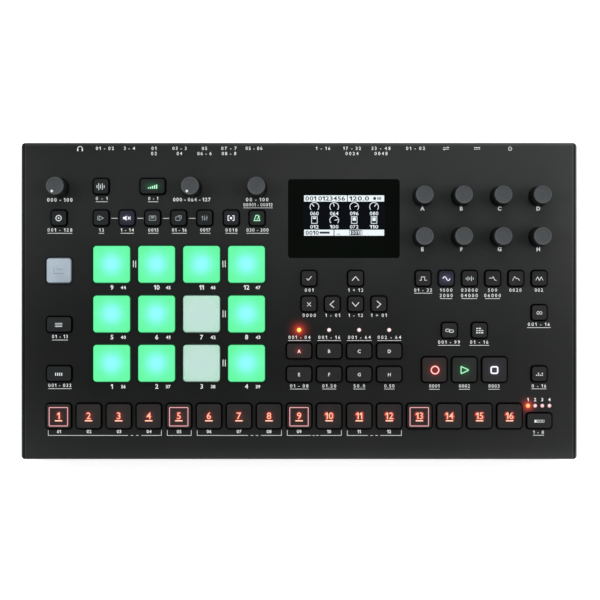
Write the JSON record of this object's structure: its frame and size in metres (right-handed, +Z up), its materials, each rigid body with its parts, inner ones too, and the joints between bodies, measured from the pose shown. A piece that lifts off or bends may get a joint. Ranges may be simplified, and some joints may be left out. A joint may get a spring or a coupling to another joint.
{
  "type": "drum machine",
  "caption": "Tabletop drum machine in a wedge-shaped steel case with a sloping panel of lit pads, step keys, knobs, a display window and rear sockets.",
  "frame": {"origin": "on the table, under the middle of the bounding box", "axes": "+X to the player's right, +Y to the rear sockets, +Z up"},
  "size_m": [0.385, 0.2212, 0.082],
  "materials": {
    "case_paint": "fine-grained satin powder coat",
    "tray_paint": "fine-grained satin powder coat",
    "foot_rubber": "matte",
    "steel": "plain",
    "window_gloss": "polished",
    "module_plastic": "matte",
    "board_green": "solder mask",
    "switch_plastic": "matte",
    "encoder_plastic": "plain",
    "jack_plastic": "satin",
    "socket_plastic": "satin",
    "lens_clear": "clear dome",
    "key_black": "fine matte",
    "key_grey": "fine matte",
    "knob_plastic": "soft matte",
    "pad_silicone_green": "translucent silicone, lit from below",
    "pad_silicone_pale": "translucent silicone",
    "button_plastic": "matte"
  },
  "bodies": {
    "case": {"top_case": "case_paint", "base_tray": "tray_paint", "rubber_feet": "foot_rubber", "fasteners": "steel", "display_window": "window_gloss", "display_module": "module_plastic", "circuit_boards": "board_green", "key_switches": "switch_plastic", "encoder_bodies": "encoder_plastic", "audio_jacks": "jack_plastic", "digital_sockets": "socket_plastic", "led_lenses": "lens_clear"},
    "knob_main_volume": {"knob_main_volume": "knob_plastic"},
    "play_key": {"play_key": "key_black"},
    "pad_1": {"pad_1": "pad_silicone_green"},
    "trig_key_1": {"trig_key_1": "key_black"},
    "knob_a": {"knob_a": "knob_plastic"},
    "function_key": {"function_key": "key_grey"},
    "power_button": {"power_button": "button_plastic"},
    "mode_keys": {"mode_keys": "key_black"},
    "navigation_keys": {"navigation_keys": "key_black"},
    "bank_keys": {"bank_keys": "key_black"},
    "page_keys": {"page_keys": "key_black"},
    "knob_performance": {"knob_performance": "knob_plastic"},
    "knob_track_level": {"knob_track_level": "knob_plastic"},
    "knob_b": {"knob_b": "knob_plastic"},
    "knob_c": {"knob_c": "knob_plastic"},
    "knob_d": {"knob_d": "knob_plastic"},
    "knob_e": {"knob_e": "knob_plastic"},
    "knob_f": {"knob_f": "knob_plastic"},
    "knob_g": {"knob_g": "knob_plastic"},
    "knob_h": {"knob_h": "knob_plastic"},
    "pad_2": {"pad_2": "pad_silicone_green"},
    "pad_3": {"pad_3": "pad_silicone_pale"},
    "pad_4": {"pad_4": "pad_silicone_green"},
    "pad_5": {"pad_5": "pad_silicone_green"},
    "pad_6": {"pad_6": "pad_silicone_green"},
    "pad_7": {"pad_7": "pad_silicone_pale"},
    "pad_8": {"pad_8": "pad_silicone_green"},
    "pad_9": {"pad_9": "pad_silicone_green"},
    "pad_10": {"pad_10": "pad_silicone_green"},
    "pad_11": {"pad_11": "pad_silicone_green"},
    "pad_12": {"pad_12": "pad_silicone_green"},
    "trig_key_2": {"trig_key_2": "key_black"},
    "trig_key_3": {"trig_key_3": "key_black"},
    "trig_key_4": {"trig_key_4": "key_black"},
    "trig_key_5": {"trig_key_5": "key_black"},
    "trig_key_6": {"trig_key_6": "key_black"},
    "trig_key_7": {"trig_key_7": "key_black"},
    "trig_key_8": {"trig_key_8": "key_black"},
    "trig_key_9": {"trig_key_9": "key_black"},
    "trig_key_10": {"trig_key_10": "key_black"},
    "trig_key_11": {"trig_key_11": "key_black"},
    "trig_key_12": {"trig_key_12": "key_black"},
    "trig_key_13": {"trig_key_13": "key_black"},
    "trig_key_14": {"trig_key_14": "key_black"},
    "trig_key_15": {"trig_key_15": "key_black"},
    "trig_key_16": {"trig_key_16": "key_black"},
    "record_key": {"record_key": "key_black"},
    "stop_key": {"stop_key": "key_black"}
  },
  "joints": [
    {"name": "main_volume_turn", "type": "hinge", "parent": "case", "child": "knob_main_volume", "pos_m": [-0.16573, 0.07606, 0.06445], "axis": [0, 0.1045, -0.9945], "range_deg": [0, 300]},
    {"name": "play_key_press", "type": "slide", "parent": "case", "child": "play_key", "axis": [0, 0.1045, -0.9945], "range_m": [0, 0.001], "stiffness_N_per_m": 1500, "springref_m": -0.0003},
    {"name": "pad_1_press", "type": "slide", "parent": "case", "child": "pad_1", "axis": [0, 0.1045, -0.9945], "range_m": [0, 0.0008], "stiffness_N_per_m": 3000, "springref_m": -0.0003},
    {"name": "trig_key_1_press", "type": "slide", "parent": "case", "child": "trig_key_1", "axis": [0, 0.1045, -0.9945], "range_m": [0, 0.001], "stiffness_N_per_m": 1500, "springref_m": -0.0003},
    {"name": "a_turn", "type": "hinge", "parent": "case", "child": "knob_a", "pos_m": [0.08525, 0.07014, 0.06383], "axis": [0, 0.1045, -0.9945], "continuous": true},
    {"name": "function_key_press", "type": "slide", "parent": "case", "child": "function_key", "axis": [0, 0.1045, -0.9945], "range_m": [0, 0.001], "stiffness_N_per_m": 1500, "springref_m": -0.0003},
    {"name": "power_press", "type": "slide", "parent": "case", "child": "power_button", "axis": [0, -1, 0], "range_m": [0, 0.002], "stiffness_N_per_m": 800, "springref_m": -0.0005},
    {"name": "mode_keys_press", "type": "slide", "parent": "case", "child": "mode_keys", "axis": [0, 0.1045, -0.9945], "range_m": [0, 0.001], "stiffness_N_per_m": 1500, "springref_m": -0.0003},
    {"name": "navigation_keys_press", "type": "slide", "parent": "case", "child": "navigation_keys", "axis": [0, 0.1045, -0.9945], "range_m": [0, 0.001], "stiffness_N_per_m": 1500, "springref_m": -0.0003},
    {"name": "bank_keys_press", "type": "slide", "parent": "case", "child": "bank_keys", "axis": [0, 0.1045, -0.9945], "range_m": [0, 0.001], "stiffness_N_per_m": 1500, "springref_m": -0.0003},
    {"name": "page_keys_press", "type": "slide", "parent": "case", "child": "page_keys", "axis": [0, 0.1045, -0.9945], "range_m": [0, 0.001], "stiffness_N_per_m": 1500, "springref_m": -0.0003},
    {"name": "performance_turn", "type": "hinge", "parent": "case", "child": "knob_performance", "pos_m": [-0.07411, 0.07606, 0.06445], "axis": [0, 0.1045, -0.9945], "range_deg": [0, 300]},
    {"name": "track_level_turn", "type": "hinge", "parent": "case", "child": "knob_track_level", "pos_m": [-0.02906, 0.07606, 0.06445], "axis": [0, 0.1045, -0.9945], "continuous": true},
    {"name": "b_turn", "type": "hinge", "parent": "case", "child": "knob_b", "pos_m": [0.11197, 0.07014, 0.06383], "axis": [0, 0.1045, -0.9945], "continuous": true},
    {"name": "c_turn", "type": "hinge", "parent": "case", "child": "knob_c", "pos_m": [0.13868, 0.07014, 0.06383], "axis": [0, 0.1045, -0.9945], "continuous": true},
    {"name": "d_turn", "type": "hinge", "parent": "case", "child": "knob_d", "pos_m": [0.16539, 0.07014, 0.06383], "axis": [0, 0.1045, -0.9945], "continuous": true},
    {"name": "e_turn", "type": "hinge", "parent": "case", "child": "knob_e", "pos_m": [0.08525, 0.04213, 0.06089], "axis": [0, 0.1045, -0.9945], "continuous": true},
    {"name": "f_turn", "type": "hinge", "parent": "case", "child": "knob_f", "pos_m": [0.11197, 0.04213, 0.06089], "axis": [0, 0.1045, -0.9945], "continuous": true},
    {"name": "g_turn", "type": "hinge", "parent": "case", "child": "knob_g", "pos_m": [0.13868, 0.04213, 0.06089], "axis": [0, 0.1045, -0.9945], "continuous": true},
    {"name": "h_turn", "type": "hinge", "parent": "case", "child": "knob_h", "pos_m": [0.16539, 0.04213, 0.06089], "axis": [0, 0.1045, -0.9945], "continuous": true},
    {"name": "pad_2_press", "type": "slide", "parent": "case", "child": "pad_2", "axis": [0, 0.1045, -0.9945], "range_m": [0, 0.0008], "stiffness_N_per_m": 3000, "springref_m": -0.0003},
    {"name": "pad_3_press", "type": "slide", "parent": "case", "child": "pad_3", "axis": [0, 0.1045, -0.9945], "range_m": [0, 0.0008], "stiffness_N_per_m": 3000, "springref_m": -0.0003},
    {"name": "pad_4_press", "type": "slide", "parent": "case", "child": "pad_4", "axis": [0, 0.1045, -0.9945], "range_m": [0, 0.0008], "stiffness_N_per_m": 3000, "springref_m": -0.0003},
    {"name": "pad_5_press", "type": "slide", "parent": "case", "child": "pad_5", "axis": [0, 0.1045, -0.9945], "range_m": [0, 0.0008], "stiffness_N_per_m": 3000, "springref_m": -0.0003},
    {"name": "pad_6_press", "type": "slide", "parent": "case", "child": "pad_6", "axis": [0, 0.1045, -0.9945], "range_m": [0, 0.0008], "stiffness_N_per_m": 3000, "springref_m": -0.0003},
    {"name": "pad_7_press", "type": "slide", "parent": "case", "child": "pad_7", "axis": [0, 0.1045, -0.9945], "range_m": [0, 0.0008], "stiffness_N_per_m": 3000, "springref_m": -0.0003},
    {"name": "pad_8_press", "type": "slide", "parent": "case", "child": "pad_8", "axis": [0, 0.1045, -0.9945], "range_m": [0, 0.0008], "stiffness_N_per_m": 3000, "springref_m": -0.0003},
    {"name": "pad_9_press", "type": "slide", "parent": "case", "child": "pad_9", "axis": [0, 0.1045, -0.9945], "range_m": [0, 0.0008], "stiffness_N_per_m": 3000, "springref_m": -0.0003},
    {"name": "pad_10_press", "type": "slide", "parent": "case", "child": "pad_10", "axis": [0, 0.1045, -0.9945], "range_m": [0, 0.0008], "stiffness_N_per_m": 3000, "springref_m": -0.0003},
    {"name": "pad_11_press", "type": "slide", "parent": "case", "child": "pad_11", "axis": [0, 0.1045, -0.9945], "range_m": [0, 0.0008], "stiffness_N_per_m": 3000, "springref_m": -0.0003},
    {"name": "pad_12_press", "type": "slide", "parent": "case", "child": "pad_12", "axis": [0, 0.1045, -0.9945], "range_m": [0, 0.0008], "stiffness_N_per_m": 3000, "springref_m": -0.0003},
    {"name": "trig_key_2_press", "type": "slide", "parent": "case", "child": "trig_key_2", "axis": [0, 0.1045, -0.9945], "range_m": [0, 0.001], "stiffness_N_per_m": 1500, "springref_m": -0.0003},
    {"name": "trig_key_3_press", "type": "slide", "parent": "case", "child": "trig_key_3", "axis": [0, 0.1045, -0.9945], "range_m": [0, 0.001], "stiffness_N_per_m": 1500, "springref_m": -0.0003},
    {"name": "trig_key_4_press", "type": "slide", "parent": "case", "child": "trig_key_4", "axis": [0, 0.1045, -0.9945], "range_m": [0, 0.001], "stiffness_N_per_m": 1500, "springref_m": -0.0003},
    {"name": "trig_key_5_press", "type": "slide", "parent": "case", "child": "trig_key_5", "axis": [0, 0.1045, -0.9945], "range_m": [0, 0.001], "stiffness_N_per_m": 1500, "springref_m": -0.0003},
    {"name": "trig_key_6_press", "type": "slide", "parent": "case", "child": "trig_key_6", "axis": [0, 0.1045, -0.9945], "range_m": [0, 0.001], "stiffness_N_per_m": 1500, "springref_m": -0.0003},
    {"name": "trig_key_7_press", "type": "slide", "parent": "case", "child": "trig_key_7", "axis": [0, 0.1045, -0.9945], "range_m": [0, 0.001], "stiffness_N_per_m": 1500, "springref_m": -0.0003},
    {"name": "trig_key_8_press", "type": "slide", "parent": "case", "child": "trig_key_8", "axis": [0, 0.1045, -0.9945], "range_m": [0, 0.001], "stiffness_N_per_m": 1500, "springref_m": -0.0003},
    {"name": "trig_key_9_press", "type": "slide", "parent": "case", "child": "trig_key_9", "axis": [0, 0.1045, -0.9945], "range_m": [0, 0.001], "stiffness_N_per_m": 1500, "springref_m": -0.0003},
    {"name": "trig_key_10_press", "type": "slide", "parent": "case", "child": "trig_key_10", "axis": [0, 0.1045, -0.9945], "range_m": [0, 0.001], "stiffness_N_per_m": 1500, "springref_m": -0.0003},
    {"name": "trig_key_11_press", "type": "slide", "parent": "case", "child": "trig_key_11", "axis": [0, 0.1045, -0.9945], "range_m": [0, 0.001], "stiffness_N_per_m": 1500, "springref_m": -0.0003},
    {"name": "trig_key_12_press", "type": "slide", "parent": "case", "child": "trig_key_12", "axis": [0, 0.1045, -0.9945], "range_m": [0, 0.001], "stiffness_N_per_m": 1500, "springref_m": -0.0003},
    {"name": "trig_key_13_press", "type": "slide", "parent": "case", "child": "trig_key_13", "axis": [0, 0.1045, -0.9945], "range_m": [0, 0.001], "stiffness_N_per_m": 1500, "springref_m": -0.0003},
    {"name": "trig_key_14_press", "type": "slide", "parent": "case", "child": "trig_key_14", "axis": [0, 0.1045, -0.9945], "range_m": [0, 0.001], "stiffness_N_per_m": 1500, "springref_m": -0.0003},
    {"name": "trig_key_15_press", "type": "slide", "parent": "case", "child": "trig_key_15", "axis": [0, 0.1045, -0.9945], "range_m": [0, 0.001], "stiffness_N_per_m": 1500, "springref_m": -0.0003},
    {"name": "trig_key_16_press", "type": "slide", "parent": "case", "child": "trig_key_16", "axis": [0, 0.1045, -0.9945], "range_m": [0, 0.001], "stiffness_N_per_m": 1500, "springref_m": -0.0003},
    {"name": "record_key_press", "type": "slide", "parent": "case", "child": "record_key", "axis": [0, 0.1045, -0.9945], "range_m": [0, 0.001], "stiffness_N_per_m": 1500, "springref_m": -0.0003},
    {"name": "stop_key_press", "type": "slide", "parent": "case", "child": "stop_key", "axis": [0, 0.1045, -0.9945], "range_m": [0, 0.001], "stiffness_N_per_m": 1500, "springref_m": -0.0003}
  ]
}
